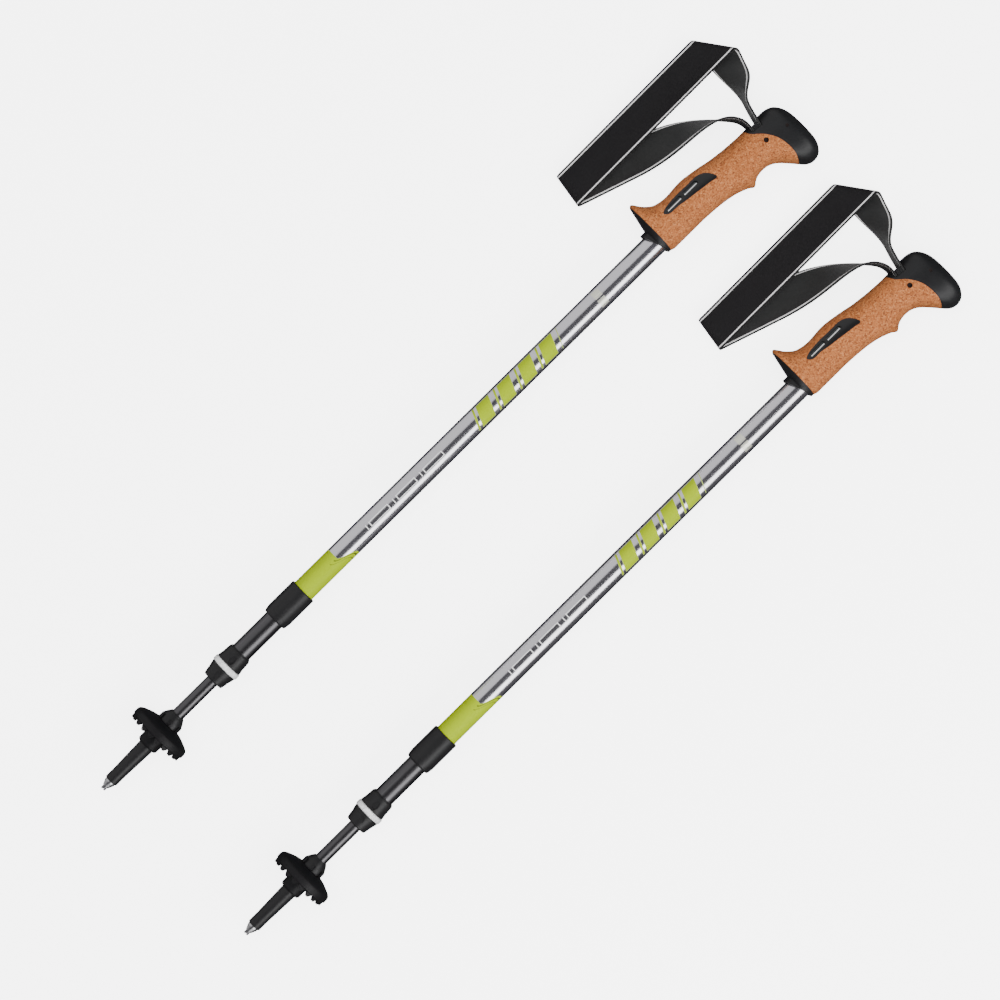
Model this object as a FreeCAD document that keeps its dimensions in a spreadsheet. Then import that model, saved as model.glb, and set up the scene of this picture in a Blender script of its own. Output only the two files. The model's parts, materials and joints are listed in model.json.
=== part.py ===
import FreeCAD, Part
import math
import os
import re
import Sketcher

os.makedirs("parts", exist_ok=True)
Vec = FreeCAD.Vector
doc = FreeCAD.newDocument("trekking_poles")

# Driving sizes in millimetres. Every pole is drawn along its own X axis, tip at 0, grip at the
# far end, the strap on the +Y side, and is laid down on the ground at the end of this file.
SIZES = """
pole_spacing 149.2 | run_gap 0.05 | loose_gap 0.35
carbide_r 2.0 | carbide_len 4.2 | holder_start 2.9 | holder_r 4.3 | holder_shank_r 2.5 | holder_shank 12
flex_start 8.3 | flex_land_r 5.3 | flex_land 9 | flex_wall 1.4 | thread_wall 1.7 | thread_pitch 3.2
hub_start 45.1 | hub_low_wall 1.7 | hub_wall 2.4 | rim_r 24.3 | rim_start 56.3 | rim_end 62.9 | dome_end 67.4
dome_top_wall 2.8 | dome_wall 2.2 | tooth_half 2.75 | tooth_drop 3.2 | tooth_count 20
flange_start 67.6 | flange_len 3.7 | flange_wall 4.6 | flange_mid_wall 2.6 | flex_end 77.6 | notch_count 8
lower_r 5.0 | lower_wall 0.8 | lower_start 34 | lower_end 500
guide_len 12
collar_start 113.2 | collar_low_wall 1.2 | collar_over 2.8 | collar_joint 123.3 | ring_start 125.2
ring_end 129.6 | ring_over 3.5 | collar_end 142.7 | collar_top_over 1.6 | snap_play 0.55 | snap_len 16
lip_wall 2.0 | collet_wall 2.4 | panel_count 4 | panel_depth 0.7 | panel_len 6.4
middle_r 8.0 | middle_wall 1.0 | middle_end 575
sleeve_start 176.8 | sleeve_end 206.8 | sleeve_low_wall 0.4 | sleeve_wall 1.7 | sleeve_lip 4.2
upper_wall 0.95 | upper_in_grip 93.2
plug_depth 15 | plug_rim 2 | spindle_r 2.5 | spindle_len 36.5 | spindle_head_r 3.3
expander_len 30 | expander_gap 3 | expander_mouth_r 6.6 | expander_throat_r 4.2 | expander_floor 10
cone_len 14 | slot_width 1.4
grip_start 574.8 | palm_half 14.8 | head_half 18.0 | cork_wall 2.8 | inlay_window 1.2
core_wall 2.6 | core_lead 8.8 | core_flange 4.4
tongue_half 7 | head_pin_r 1.3 | head_pin_in 123.1 | head_pin_y -6.5
strap_pin_r 2.0 | strap_pin_in 104.6 | strap_pin_y -3.5 | pin_recess 0.9
strap_width 27.3 | strap_thick 1.7 | strap_fold_r 3.6 | slot_side 0.45
exit_low_in 103.8 | exit_low_y 12.0 | exit_top_in 111.7 | exit_top_y 13.7
wedge_in 2.0 | wedge_out 11.3
"""
sheet = doc.addObject("Spreadsheet::Sheet", "dims")
row = 0
for item in SIZES.replace("\n", "|").split("|"):
    if item.strip():
        row += 1
        alias, number = item.split()
        sheet.set("A%d" % row, alias)
        sheet.set("B%d" % row, number)
        sheet.setAlias("B%d" % row, alias)
doc.recompute()
ALIASES = {sheet.getAlias("B%d" % k) for k in range(1, row + 1)}


# Sizes that follow from others: what fits in, on or round a piece takes its size from it.
FOLLOWS = {
    "flex_top_r": "lower_r + flex_wall", "thread_r": "lower_r + thread_wall",
    "hub_low_r": "lower_r + thread_wall + hub_low_wall", "hub_r": "lower_r + thread_wall + hub_wall",
    "dome_top_r": "lower_r + thread_wall + dome_top_wall", "flange_r": "lower_r + flange_wall",
    "flange_mid_r": "lower_r + flange_mid_wall", "collet_r": "lower_r + collet_wall",
    "collar_low_r": "lower_r + collet_wall + collar_low_wall", "collar_r": "middle_r + collar_over",
    "ring_r": "middle_r + ring_over", "collar_top_r": "middle_r + collar_top_over",
    "snap_r": "middle_r - middle_wall - snap_play", "upper_r": "middle_r + run_gap + upper_wall",
    "sleeve_low_r": "middle_r + run_gap + upper_wall + sleeve_low_wall",
    "sleeve_r": "middle_r + run_gap + upper_wall + sleeve_wall",
    "core_r": "middle_r + run_gap + upper_wall + core_wall",
    "upper_end": "grip_start + upper_in_grip", "core_start": "grip_start - core_lead",
    "strap_pin_x": "grip_start + strap_pin_in", "head_pin_x": "grip_start + head_pin_in",
    "exit_low_x": "grip_start + exit_low_in", "exit_top_x": "grip_start + exit_top_in"}


def bind(text):
    """An expression on the sheet, written with the bare names of the sizes."""
    text = re.sub(r"[a-z_]+", lambda w: "(" + FOLLOWS[w[0]] + ")" if w[0] in FOLLOWS else w[0], str(text))
    return re.sub(r"[a-z_]+", lambda w: "dims." + w.group() if w.group() in ALIASES else w.group(), text)


def size(text):
    return float(sheet.evalExpression(bind(text)))


def plane(body, role):
    return [o for o in body.Origin.OriginFeatures if o.Role == role][0]


def outline(body, name, corners, role="XY_Plane", lift=None):
    """A closed sketch of straight edges; each corner is (x, y) in sheet expressions."""
    sk = body.newObject("Sketcher::SketchObject", name)
    sk.AttachmentSupport = (plane(body, role), [""])
    sk.MapMode = "FlatFace"
    if lift is not None:
        sk.setExpression("AttachmentOffset.Base.z", bind(lift))
    spots = [Vec(size(x), size(y), 0) for x, y in corners]
    count = len(spots)
    for i in range(count):
        sk.addGeometry(Part.LineSegment(spots[i], spots[(i + 1) % count]), False)
    for i in range(count):
        sk.addConstraint(Sketcher.Constraint("Coincident", i, 2, (i + 1) % count, 1))
    for i, (x, y) in enumerate(corners):
        for kind, text, value in (("DistanceX", x, spots[i].x), ("DistanceY", y, spots[i].y)):
            c = sk.addConstraint(Sketcher.Constraint(kind, -1, 1, i, 1, value))
            if re.search("[a-z]", str(text)):
                sk.setExpression("Constraints[%d]" % c, bind(text))
    return sk


def turned(name, corners):
    """A body turned about the pole's X axis from a half section."""
    body = doc.addObject("PartDesign::Body", name)
    body.Label = name
    sk = outline(body, name + "_section", corners)
    rev = body.newObject("PartDesign::Revolution", name + "_turned")
    rev.Profile = sk
    rev.ReferenceAxis = (sk, ["H_Axis"])
    rev.Angle = 360
    doc.recompute()
    return body


def cut_through(body, name, corners, role="XY_Plane", reach=80):
    """A slot cut both ways through the body from one of its origin planes."""
    sk = outline(body, name, corners, role)
    pocket = body.newObject("PartDesign::Pocket", name + "_cut")
    pocket.Profile = sk
    pocket.Type = "Length"
    pocket.SideType = "Symmetric"
    pocket.Length = reach
    doc.recompute()
    return pocket


def around(body, feature, name, count):
    """The feature repeated around the pole's axis."""
    pattern = body.newObject("PartDesign::PolarPattern", name)
    pattern.Originals = [feature]
    pattern.Axis = ([o for o in body.Origin.OriginFeatures if o.Role == "X_Axis"][0], [""])
    pattern.Angle = 360
    pattern.setExpression("Occurrences", bind(count))
    body.Tip = pattern
    doc.recompute()
    return pattern


def solid_piece(name, shape):
    piece = doc.addObject("Part::Feature", name)
    piece.Label = name
    piece.Shape = shape
    return piece


# ---------------------------------------------------------------------------------------------
# How the pole lies: on the rim of its basket and on the side of its grip head, so its axis
# drops towards the grip by a fraction of a degree.
head_rest_x = size("grip_start") + 117.2
rim_rest_x = size("(rim_start + rim_end) / 2")
tilt = math.atan((size("rim_r") - size("head_half")) / (head_rest_x - rim_rest_x))
lift = size("rim_r") * math.cos(tilt) + rim_rest_x * math.sin(tilt)


def ground(x):
    """Height of the ground, measured from the pole's own axis, under the place x."""
    return (x * math.sin(tilt) - lift) / math.cos(tilt)


# ---------------------------------------------------------------------------------------------
# Grip envelope: half sections across the pole, each with its back and front edge and its half
# thickness. The palm swells, the little finger sits on a lip that flares backwards, a ridge
# parts the fingers, and the head runs forward over the hand.
palm = size("palm_half")
head = size("head_half")
GRIP_STATIONS = [
    (0.0, 31.4, -11.6, 1.06 * palm), (2.9, 32.0, -12.6, 1.09 * palm), (5.9, 27.6, -12.7, 1.05 * palm),
    (9.0, 24.2, -12.7, 1.02 * palm), (12.5, 21.4, -12.7, palm), (17.0, 19.8, -12.7, 0.99 * palm),
    (23.5, 18.9, -12.7, 0.99 * palm), (32.3, 19.4, -12.7, 1.0 * palm), (41.1, 19.7, -13.1, 1.02 * palm),
    (50.0, 18.6, -13.8, 1.02 * palm), (58.8, 17.1, -15.1, 1.01 * palm), (65.0, 15.8, -16.6, 1.01 * palm),
    (70.5, 15.0, -18.6, 1.03 * palm), (74.0, 14.6, -20.4, 1.05 * palm), (76.4, 14.3, -21.9, 1.06 * palm),
    (79.0, 14.0, -20.4, 1.05 * palm), (82.3, 13.8, -18.4, 1.05 * palm), (88.2, 13.4, -17.2, 1.07 * palm),
    (94.1, 13.2, -17.7, 0.93 * head), (99.9, 13.2, -20.4, 0.96 * head), (105.8, 13.3, -26.0, 0.985 * head),
    (111.5, 13.6, -32.6, head), (116.0, 13.8, -37.2, head), (120.5, 13.5, -38.9, head),
    (124.0, 12.6, -38.7, 0.975 * head), (127.0, 10.9, -37.6, 0.91 * head),
    (129.6, 8.0, -35.2, 0.79 * head), (131.6, 4.4, -32.2, 0.63 * head), (132.9, 0.2, -28.6, 0.44 * head),
    (133.6, -4.6, -24.4, 0.24 * head), (133.8, -9.5, -19.5, 0.09 * head)]


def envelope(inset, back_limit=99.0, top_cut=0):
    """The grip's outer shape, or a core set in from it by a wall."""
    grid = []
    for dx, back, front, half in GRIP_STATIONS[:len(GRIP_STATIONS) - top_cut]:
        b = min(back - inset, back_limit)
        f = front + inset
        h = half - inset
        line = []
        for j in range(15):
            a = math.pi * j / 14
            c, s = math.cos(a), math.sin(a)
            u = math.copysign(abs(c) ** 0.87, c)
            line.append(Vec(size("grip_start") + dx, (b + f) / 2 + (b - f) / 2 * u,
                            h * s ** 0.87 if s > 1e-9 else 0))
        grid.append(line)
    skin = Part.BSplineSurface()
    skin.interpolate(grid)
    half_skin = skin.toShape()
    other = half_skin.mirror(Vec(0, 0, 0), Vec(0, 0, 1))
    caps = []
    for row_index in (0, len(grid) - 1):
        iso = skin.uIso(skin.bounds()[0] if row_index == 0 else skin.bounds()[1]).toShape()
        wire = Part.Wire([iso, iso.mirror(Vec(0, 0, 0), Vec(0, 0, 1))])
        caps.append(Part.Face(wire))
    shell = Part.makeShell([half_skin, other] + caps)
    shell.sewShape()
    solid = Part.makeSolid(Part.Shell(shell.Faces))
    if solid.Volume < 0:
        solid.reverse()
    return solid


def prism(points, low, high):
    wire = Part.makePolygon([Vec(x, y, low) for x, y in points] + [Vec(points[0][0], points[0][1], low)])
    return Part.Face(wire).extrude(Vec(0, 0, high - low))


def smooth_prism(points, low, high):
    curve = Part.BSplineCurve()
    curve.interpolate([Vec(x, y, low) for x, y in points], PeriodicFlag=True)
    return Part.Face(Part.Wire(curve.toShape())).extrude(Vec(0, 0, high - low))


def above_seam():
    """Everything on the head's side of the seam between the cork and the head."""
    seam = [(98.2, 20), (98.4, 11.5), (100.2, 7.3), (104.4, 3.2), (108.7, -2.1), (111.6, -7.4),
            (113.3, -13.7), (113.9, -21.0), (113.1, -27.3), (111.8, -31.0), (110.2, -36), (109, -50)]
    curve = Part.BSplineCurve()
    curve.interpolate([Vec(size("grip_start") + x, y, -40) for x, y in seam])
    a, b = curve.StartPoint, curve.EndPoint
    far = size("grip_start") + 185
    rest = Part.makePolygon([b, Vec(far, b.y, -40), Vec(far, a.y, -40), a])
    return Part.Face(Part.Wire([curve.toShape()] + rest.Edges)).extrude(Vec(0, 0, 80))


# Strap route inside the head: in below, round the strap pin and out above, with the wedge
# between the two runs.
pin_x, pin_y = size("strap_pin_x"), size("strap_pin_y")
wrap_r = size("strap_pin_r + loose_gap + strap_thick / 2")
low_in, low_out = (pin_x - wrap_r, pin_y), (size("exit_low_x"), size("exit_low_y"))
top_in, top_out = (pin_x + wrap_r, pin_y), (size("exit_top_x"), size("exit_top_y"))
half_room = size("strap_thick / 2 + loose_gap")


def run_x(start, end, y, shift=0.0):
    """Where a run of the strap is, along the pole, at the height y."""
    return start[0] + (end[0] - start[0]) * (y - start[1]) / (end[1] - start[1]) + shift


def strap_room():
    side = size("strap_width / 2 + slot_side")
    inner = pin_y - wrap_r - half_room
    points = [(run_x(low_in, low_out, 24, -half_room), 24), (low_in[0] - half_room, pin_y),
              (low_in[0] - half_room, inner), (top_in[0] + half_room, inner),
              (top_in[0] + half_room, pin_y), (run_x(top_in, top_out, 24, half_room), 24)]
    return prism(points, -side, side)


def cylinder(radius, length, x, y, z, axis):
    return Part.makeCylinder(radius, length, Vec(x, y, z), axis)


def grip_shapes():
    """Cork, core, head, inlays and pins of one grip."""
    whole = envelope(0)
    inner = envelope(size("cork_wall"), 13.2, 5)
    top = above_seam()
    room = strap_room()
    bore = cylinder(size("upper_r"), 150, size("upper_end") - 150, 0, 0, Vec(1, 0, 0))
    strap_pin_half = 0.96 * head - size("pin_recess")
    strap_pin = cylinder(size("strap_pin_r"), 2 * strap_pin_half, pin_x, pin_y, -strap_pin_half, Vec(0, 0, 1))
    strap_hole = cylinder(size("strap_pin_r"), 60, pin_x, pin_y, -30, Vec(0, 0, 1))
    px, py = size("head_pin_x"), size("head_pin_y")
    head_pin_half = head - size("pin_recess")
    head_pin = cylinder(size("head_pin_r"), 2 * head_pin_half, px, py, -head_pin_half, Vec(0, 0, 1))
    head_hole = cylinder(size("head_pin_r"), 60, px, py, -30, Vec(0, 0, 1))
    hold = size("tongue_half")
    tongue = Part.makeBox(20, 12.5, 2 * hold, Vec(size("grip_start") + 108.6, -15, -hold))

    # Core: the plastic body under the cork, with a collar and a flange that close the grip's
    # lower end, and a tongue that the head is pinned to.
    x0 = size("grip_start")
    collar = cylinder(size("core_r"), x0 - size("core_start"), size("core_start"), 0, 0, Vec(1, 0, 0))
    slant = prism([(size("core_start") - 1, 13), (size("core_start") - 1, -14), (x0 - 1.0, -14)], -20, 20)
    lip = whole.Faces[[round(f.CenterOfMass.x, 3) == round(x0, 3) and f.BoundBox.XLength < 0.01
                       for f in whole.Faces].index(True)].OuterWire
    foot_ring = Part.Circle(Vec(x0 - size("core_flange"), 0, 0), Vec(1, 0, 0), size("core_r"))
    foot = Part.Wire([foot_ring.toShape()])
    flange = Part.makeLoft([foot, Part.Wire(lip.Edges)], True, True)
    core = inner.cut(top).fuse([collar.cut(slant), flange.cut(slant)]).fuse(tongue)
    core = core.cut([bore, room, strap_hole, head_hole]).removeSplitter()
    tear = [(x0 + x, y) for x, y in (
        (60.8, 3.6), (58.9, 7.8), (54.8, 12.0), (50.6, 13.7), (43.2, 14.0), (36.0, 14.1), (29.3, 14.2),
        (22.0, 13.7), (16.8, 12.8), (13.6, 10.8), (15.6, 8.4), (23.0, 7.5), (30.4, 6.4), (37.7, 5.5),
        (46.2, 4.4), (52.4, 3.6), (57.6, 2.7), (60.2, 2.6))]
    windows = [prism([(x0 + a, 8.9), (x0 + a + 1.3, 10.0), (x0 + a + 1.3, 11.4), (x0 + a, 12.4),
                      (x0 + b, 12.4), (x0 + b + 1.2, 11.2), (x0 + b + 1.2, 9.6), (x0 + b, 8.9)],
                     palm - size("inlay_window") - 2.4, 40) for a, b in ((17.4, 30.6), (34.2, 46.6))]
    window_block = smooth_prism(tear, 0.5, 40)
    left = whole.common(window_block).cut(inner)
    recess = envelope(size("inlay_window"), 99, 5)
    left = left.cut([w.cut(recess) for w in windows])
    left = max(left.Solids, key=lambda solid: solid.Volume)
    right = left.mirror(Vec(0, 0, 0), Vec(0, 0, 1))
    hollow = [window_block, window_block.mirror(Vec(0, 0, 0), Vec(0, 0, 1))]
    cork = whole.cut(top).cut([inner, room, strap_hole, bore]).cut(hollow)
    cork = cork.cut(cylinder(size("upper_r") + 1, 30, x0 - 10, 0, 0, Vec(1, 0, 0)))
    cork = max(cork.Solids, key=lambda solid: solid.Volume)
    cap = whole.common(top).cut([room, head_hole, tongue])
    cap = max(cap.Solids, key=lambda solid: solid.Volume)
    core = max(core.Solids, key=lambda solid: solid.Volume)
    return {"cork_grip": cork, "grip_core": core, "grip_head": cap, "inlay_left": left,
            "inlay_right": right, "strap_pin": strap_pin, "head_pin": head_pin}


# ---------------------------------------------------------------------------------------------
# Wrist strap: one closed band of webbing. It stands on edge in the head, lies down flat as it
# leaves it, folds over at the top, runs back along the pole above the lower run, folds under
# and comes back to the head. Each station is (centre, half width with its skew, outward direction);
# the skew lets the cross lines run parallel to the crease of a fold.
def strap_stations():
    half_w, half_t = size("strap_width") / 2, size("strap_thick") / 2
    fold, start = size("strap_fold_r"), size("grip_start")
    stations = []

    def flat_z(x):
        return ground(x) + half_t + 0.35

    def add(centre, along, outward, skew=0.0):
        along = Vec(along).normalize()
        outward = Vec(outward)
        outward = (outward - along * outward.dot(along)).normalize()
        side = outward.cross(along).normalize() * half_w
        stations.append((Vec(centre), side + along * skew, outward))

    def crease_skew(crease, along, outward):
        side = Vec(outward).cross(Vec(along)).normalize()
        return half_w * crease.dot(Vec(along).normalize()) / crease.dot(side)

    # lower run inside the head, then round the pin and out again
    for part in range(3):
        y = low_out[1] + (pin_y - low_out[1]) * part / 3.0
        add(Vec(run_x(low_in, low_out, y), y, 0), Vec(low_in[0] - low_out[0], low_in[1] - low_out[1], 0),
            Vec(-1, 0, 0))
    for part in range(7):
        a = math.pi * part / 6
        out = Vec(-math.cos(a), -math.sin(a), 0)
        add(Vec(pin_x, pin_y, 0) + out * wrap_r, Vec(math.sin(a), -math.cos(a), 0), out)
    for part in range(1, 4):
        y = pin_y + (top_out[1] - pin_y) * part / 3.0
        add(Vec(run_x(top_in, top_out, y), y, 0), Vec(top_out[0] - top_in[0], top_out[1] - top_in[1], 0),
            Vec(1, 0, 0))

    # folds: the band turns half round a line that lies askew to it
    def fold_over(centre, crease, along, rising):
        crease = Vec(crease).normalize()
        along = Vec(along).normalize()
        across = along - crease * along.dot(crease)
        slide = crease * (along.dot(crease) / across.Length)
        across = Vec(across).normalize()
        base = Vec(centre.x, centre.y, flat_z(centre.x))
        steps = []
        for part in range(9):
            a = math.pi * part / 8
            turn = a if rising else math.pi - a
            ring = fold * (1 - math.cos(turn))
            spot = base + across * (fold * math.sin(a)) + slide * (fold * (a - math.pi / 2)) + Vec(0, 0, ring)
            tangent = across * math.cos(a) + slide + Vec(0, 0, math.sin(a) if rising else -math.sin(a))
            outward = across * math.sin(a) + Vec(0, 0, -math.cos(a) if rising else math.cos(a))
            steps.append((spot, tangent, outward, crease_skew(crease, tangent, outward)))
        return steps

    top_fold = fold_over(Vec(start + 128.4, 71.4, 0), Vec(19.5, -26.8, 0), Vec(0.309, 0.951, 0), True)
    low_fold = fold_over(Vec(start - 18.4, 72.6, 0), Vec(-4.0, -25.7, 0), Vec(-1, 0, 0), False)

    def twisted(start, start_dir, end, end_dir, side, count, swell, twist_from, twist_to):
        """A run between a stretch on edge and a stretch lying flat."""
        reach = (end - start).Length * swell
        for part in range(1, count):
            u = part / float(count)
            h1, h2 = 2 * u ** 3 - 3 * u ** 2 + 1, u ** 3 - 2 * u ** 2 + u
            h3, h4 = -2 * u ** 3 + 3 * u ** 2, u ** 3 - u ** 2
            d1, d2 = 6 * u ** 2 - 6 * u, 3 * u ** 2 - 4 * u + 1
            d3, d4 = -6 * u ** 2 + 6 * u, 3 * u ** 2 - 2 * u
            spot = start * h1 + start_dir * (reach * h2) + end * h3 + end_dir * (reach * h4)
            along = start * d1 + start_dir * (reach * d2) + end * d3 + end_dir * (reach * d4)
            along.z = 0
            along.normalize()
            v = min(max((u - twist_from) / (twist_to - twist_from), 0), 1)
            flat = v * v * (3 - 2 * v) if side > 0 else 1 - v * v * (3 - 2 * v)
            angle = math.pi / 2 * flat
            level = flat_z(spot.x)
            spot.z = level - level * math.cos(angle)
            edgeways = Vec(along.y, -along.x, 0) if side > 0 else Vec(along.y, -along.x, 0)
            outward = edgeways * math.cos(angle) + Vec(0, 0, -math.sin(angle))
            yield spot, along, outward, u * u * (3 - 2 * u)

    begin = Vec(top_out[0], top_out[1], 0)
    first = top_fold[0]
    out_dir = Vec(top_out[0] - top_in[0], top_out[1] - top_in[1], 0).normalize()
    for step in twisted(begin, out_dir, Vec(first[0].x, first[0].y, 0), Vec(0.309, 0.951, 0), 1, 12,
                        1.0, 0.22, 1.0):
        add(*step[:3], skew=first[3] * step[3])
    for step in top_fold:
        add(*step)
    last, nxt = top_fold[-1][0], low_fold[0][0]
    for share in (0.012, 0.035, 0.075, 0.14, 0.22, 0.32, 0.43, 0.57, 0.68, 0.78, 0.86, 0.925, 0.965, 0.988):
        add(last + (nxt - last) * share, Vec(-1, 0, 0), Vec(0, 0, 1),
            top_fold[-1][3] + (low_fold[0][3] - top_fold[-1][3]) * share)
    for step in low_fold:
        add(*step)
    leave = low_fold[-1][0]
    bend = Vec(start + 28.0, 56.5, 0)
    for u in (0.02, 0.06, 0.12, 0.2, 0.31, 0.45, 0.6, 0.74, 0.87):
        spot = Vec(leave.x, leave.y, 0) * (1 - u) + bend * u
        add(Vec(spot.x, spot.y, flat_z(spot.x)), bend - Vec(leave.x, leave.y, 0), Vec(0, 0, -1),
            low_fold[-1][3] * (1 - u))
    arrive = Vec(low_out[0], low_out[1], 0)
    course = (bend - Vec(leave.x, leave.y, 0)).normalize()
    add(Vec(bend.x, bend.y, flat_z(bend.x)), course, Vec(0, 0, -1))
    in_dir = Vec(low_in[0] - low_out[0], low_in[1] - low_out[1], 0).normalize()
    for step in twisted(bend, course, arrive, in_dir, -1, 18, 0.85, 0.0, 0.8):
        add(*step[:3])
    return stations


def strap_shape():
    """The band as a ring of four ruled faces between the curves of its four edges."""
    stations = strap_stations()
    half_t = size("strap_thick") / 2
    knots = [0.0]
    for i in range(len(stations)):
        a, b = stations[i][0], stations[(i + 1) % len(stations)][0]
        knots.append(knots[-1] + (b - a).Length)
    rails = []
    for w, t in ((1, 1), (1, -1), (-1, -1), (-1, 1)):
        curve = Part.BSplineCurve()
        curve.interpolate(Points=[c + side * w + out * (t * half_t) for c, side, out in stations],
                          PeriodicFlag=True, Parameters=knots)
        rails.append(curve)
    faces = []
    spans = [knots[len(stations) * k // 12] for k in range(12)] + [knots[-1]]
    for one, two in zip(rails, rails[1:] + rails[:1]):
        for low_knot, high_knot in zip(spans, spans[1:]):
            face = Part.BSplineSurface()
            face.buildFromPolesMultsKnots(
                [[p, q] for p, q in zip(one.getPoles(), two.getPoles())],
                one.getMultiplicities(), [2, 2], one.getKnots(), [0, 1], True, False, 3, 1)
            face.segment(low_knot, high_knot, 0, 1)
            faces.append(face.toShape())
    shell = Part.makeShell(faces)
    shell.sewShape()
    solid = Part.makeSolid(Part.Shell(shell.Faces))
    if solid.Volume < 0:
        solid.reverse()
    return solid, knots[-1]


# ---------------------------------------------------------------------------------------------
# One pole, from the tip to the grip.
grip = grip_shapes()
strap, strap_length = strap_shape()
print("strap length", round(strap_length, 1), "volume", round(strap.Volume, 1),
      "section x length", round(strap_length * size("strap_width * strap_thick"), 1))
poles = {1: [], 2: []}

for pole in (1, 2):
    mark = "_%d" % pole
    made = poles[pole]

    # carbide point, pressed into a flared steel holder
    made.append(turned("carbide_tip" + mark, [
        (0, "0"), (0, "carbide_r * 0.8"), ("carbide_r * 0.2", "carbide_r"), ("carbide_len + 2", "carbide_r"),
        ("carbide_len + 2", "0")]))
    cross = cut_through(made[-1], "tip_cross" + mark, [
        ("-1", "-0.35"), ("-1", "0.35"), ("0.9", "0.35"), ("0.9", "-0.35")])
    around(made[-1], cross, "tip_crosses" + mark, "2 + 1")
    made.append(turned("tip_holder" + mark, [
        ("holder_start", "carbide_r"), ("holder_start", "carbide_r + 0.5"), ("flex_start - 1.4", "holder_r"),
        ("flex_start", "holder_r"), ("flex_start", "holder_shank_r"),
        ("flex_start + holder_shank", "holder_shank_r"), ("flex_start + holder_shank", "0"),
        ("carbide_len + 2", "0"), ("carbide_len + 2", "carbide_r")]))
    flute = cut_through(made[-1], "holder_flute" + mark, [
        ("holder_start - 1", "carbide_r + 0.9"), ("holder_start - 1", "12"), ("flex_start - 2.6", "12"),
        ("flex_start - 2.6", "carbide_r + 1.3")], reach=1.0)
    around(made[-1], flute, "holder_flutes" + mark, "2 * 4")

    # plastic flex tip: cylindrical land for a tip protector, taper, screw thread for the basket,
    # notched flange above it; moulded round the lower tube
    ridges = []
    start = size("hub_start")
    count = int((size("flange_start") - start - 1) // size("thread_pitch"))
    for k in range(count):
        at = "hub_start + thread_pitch * %d" % k
        ridges += [(at, "thread_r - 0.45"), (at + " + thread_pitch * 0.3", "thread_r"),
                   (at + " + thread_pitch * 0.7", "thread_r")]
    made.append(turned("flex_tip" + mark, [
        ("flex_start", "holder_shank_r"), ("flex_start", "flex_land_r - 0.6"),
        ("flex_start + 0.6", "flex_land_r"), ("flex_start + 0.6 + flex_land", "flex_land_r"),
        ("hub_start - 0.4", "flex_top_r - 0.15")] + ridges + [
        ("flange_start", "thread_r - 0.45"), ("flange_start", "flange_r"),
        ("flange_start + flange_len", "flange_r"), ("flex_end - 2.6", "flange_mid_r"),
        ("flex_end", "lower_r + 0.8"), ("flex_end", "lower_r"), ("lower_start", "lower_r"),
        ("lower_start", "0"), ("flex_start + holder_shank", "0"),
        ("flex_start + holder_shank", "holder_shank_r")]))
    notch = cut_through(made[-1], "flange_notch" + mark, [
        ("flange_start - 0.2", "flange_r - 1.3"), ("flange_start - 0.2", "flange_r + 2"),
        ("flange_start + flange_len + 0.9", "flange_r + 2"),
        ("flange_start + flange_len + 0.9", "flange_r - 1.3")], reach=2.6)
    around(made[-1], notch, "flange_notches" + mark, "notch_count")

    # basket: a domed disc with a deep rim, blunt teeth under the rim and a threaded hub
    dome_out = [
        ("dome_end", "dome_top_r"), ("dome_end - 0.7", "rim_r * 0.52"), ("dome_end - 1.3", "rim_r * 0.61"),
        ("dome_end - 2.1", "rim_r * 0.70"), ("dome_end - 2.9", "rim_r * 0.78"),
        ("dome_end - 3.6", "rim_r * 0.85"), ("rim_end", "rim_r * 0.92"), ("rim_end - 0.9", "rim_r * 0.965"),
        ("rim_end - 2.0", "rim_r * 0.99"), ("rim_end - 3.0", "rim_r"), ("rim_start + 0.6", "rim_r"),
        ("rim_start", "rim_r - 0.6")]
    dome_in = [("rim_start", "rim_r - 3.0"), ("rim_end - 3.5", "rim_r - 3.4"),
               ("dome_end - 2.2 - dome_wall", "rim_r * 0.74"), ("dome_end - 0.9 - dome_wall", "rim_r * 0.58"),
               ("dome_end - 0.4 - dome_wall", "hub_r"), ("hub_start + 1.2", "hub_low_r + 0.15")]
    made.append(turned("basket" + mark, [
        ("hub_start", "thread_r + run_gap"), ("hub_start", "hub_low_r - 0.7"),
        ("hub_start + 1.2", "hub_low_r + 0.15")][:2] + dome_in[::-1] + dome_out[::-1] + [
        ("dome_end", "thread_r + run_gap")]))
    sk = outline(made[-1], "tooth_outline" + mark, [
        ("rim_start + 1.5", "-tooth_half"), ("rim_start + 1.5", "tooth_half"),
        ("rim_start - 0.3", "tooth_half"), ("rim_start - tooth_drop + 0.6", "tooth_half * 0.42"),
        ("rim_start - tooth_drop", "tooth_half * 0.2"), ("rim_start - tooth_drop", "-tooth_half * 0.2"),
        ("rim_start - tooth_drop + 0.6", "-tooth_half * 0.42"), ("rim_start - 0.3", "-tooth_half")])
    sk.AttachmentOffset = FreeCAD.Placement(Vec(0, 0, 0), FreeCAD.Rotation(Vec(1, 0, 0), 10))
    sk.setExpression("AttachmentOffset.Base.y", bind("-(rim_r - 2.9) * sin(10)"))
    sk.setExpression("AttachmentOffset.Base.z", bind("(rim_r - 2.9) * cos(10)"))
    tooth = made[-1].newObject("PartDesign::Pad", "tooth" + mark)
    tooth.Profile = sk
    tooth.Length = 2
    doc.recompute()
    around(made[-1], tooth, "teeth" + mark, "tooth_count")

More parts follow.
